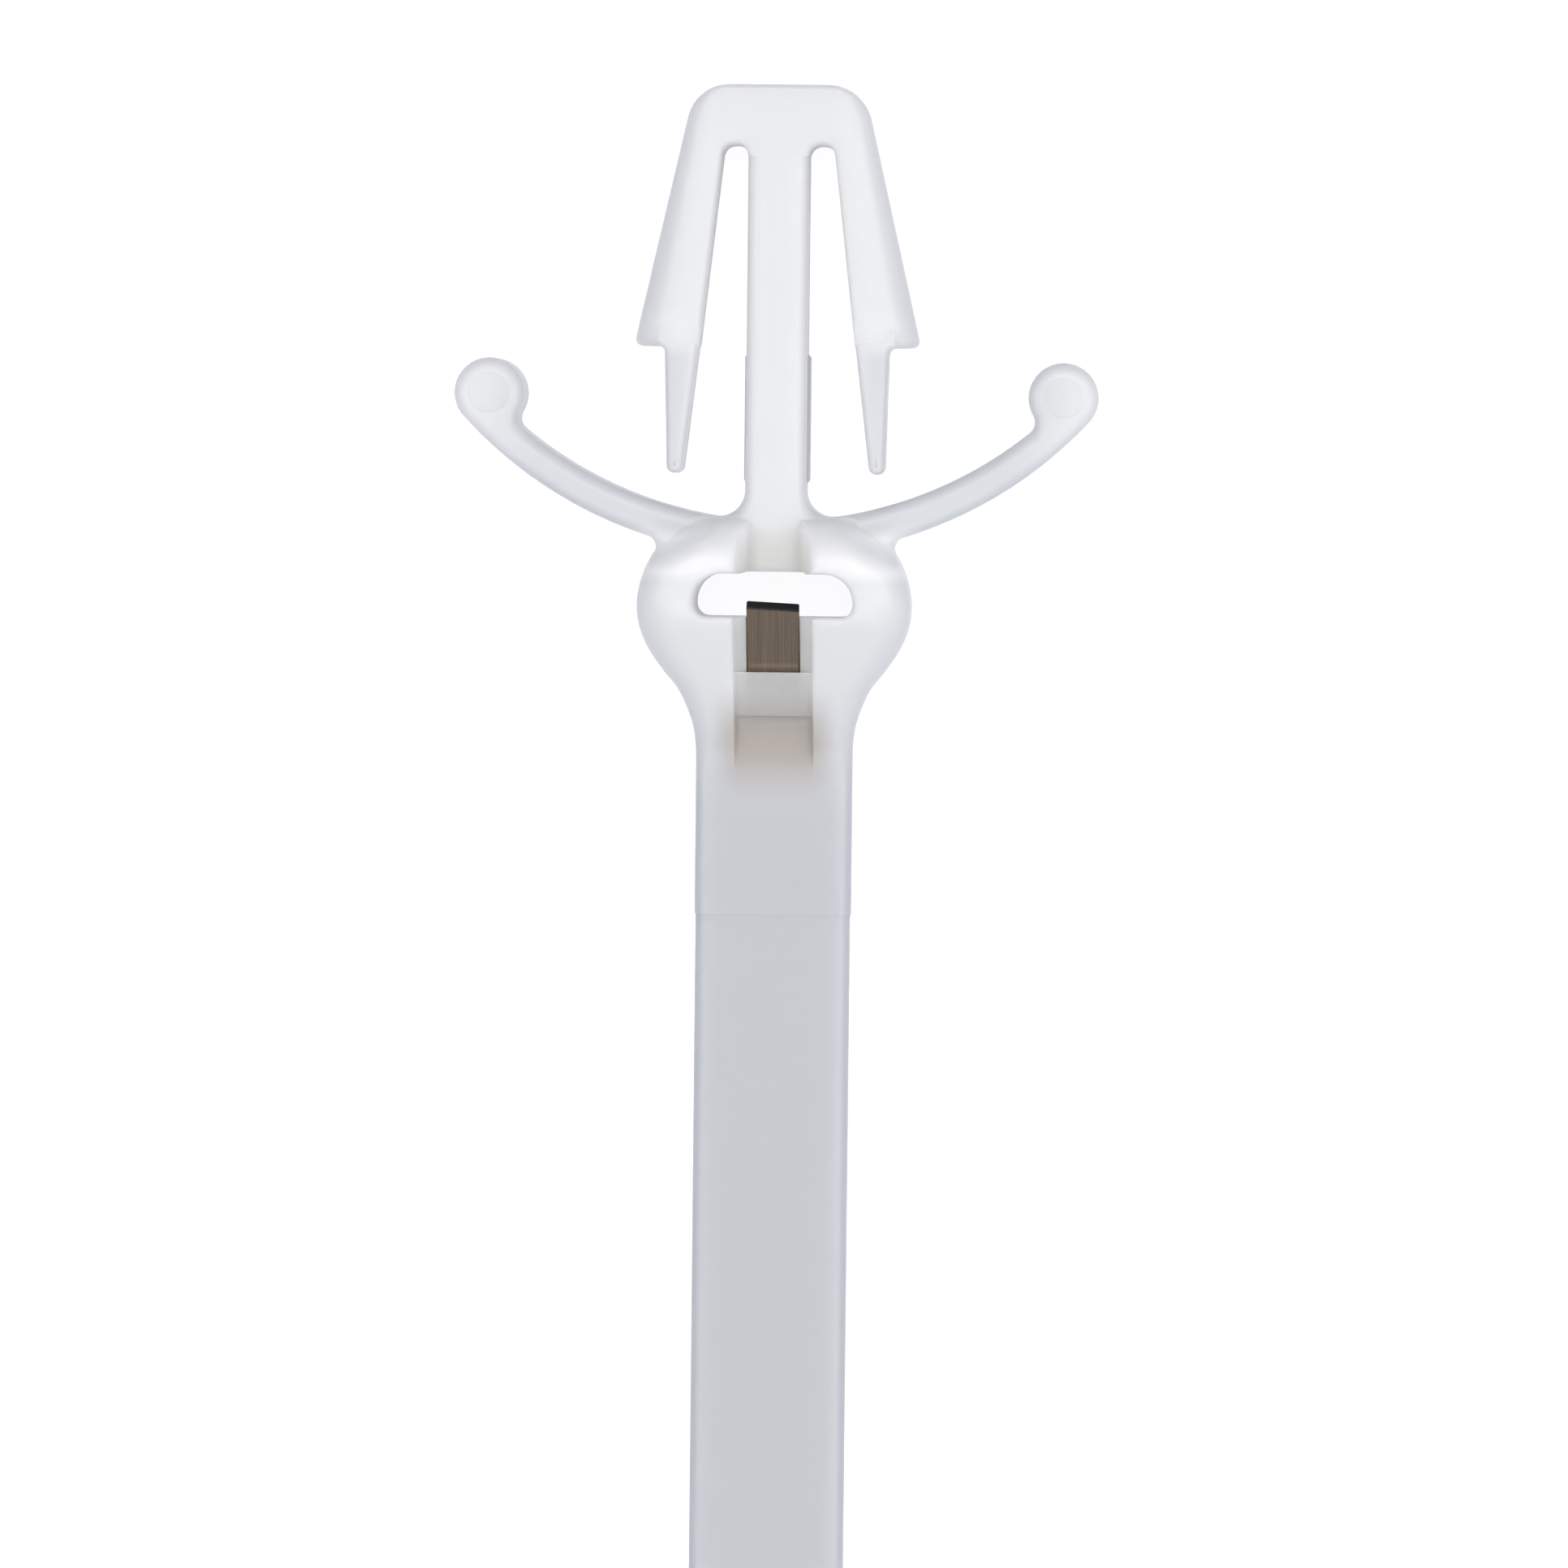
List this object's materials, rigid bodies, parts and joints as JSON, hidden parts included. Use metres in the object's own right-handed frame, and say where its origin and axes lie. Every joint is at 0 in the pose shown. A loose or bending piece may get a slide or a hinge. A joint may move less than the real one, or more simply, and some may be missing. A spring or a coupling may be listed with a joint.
{
  "type": "wing push mount cable tie",
  "caption": "Natural nylon cable tie with a steel locking barb in its rounded head, curved spring wings and a push-in arrowhead that snaps into a round panel hole.",
  "frame": {"origin": "centre of the strap slot, on the tie's flat back plane", "axes": "+Y along the tie towards the arrowhead's nose, the strap's tail runs along -Y; +Z out of the front, the way the threaded strap leaves the slot; +X across the strap"},
  "size_m": [0.0196, 0.206, 0.0045],
  "materials": {
    "nylon": "natural nylon 6.6, milky and slightly see-through, satin as moulded",
    "stainless_steel": "stainless steel strip with rolling grain along its length"
  },
  "bodies": {
    "root": {"tie_body": "nylon", "locking_barb": "stainless_steel"}
  },
  "joints": []
}
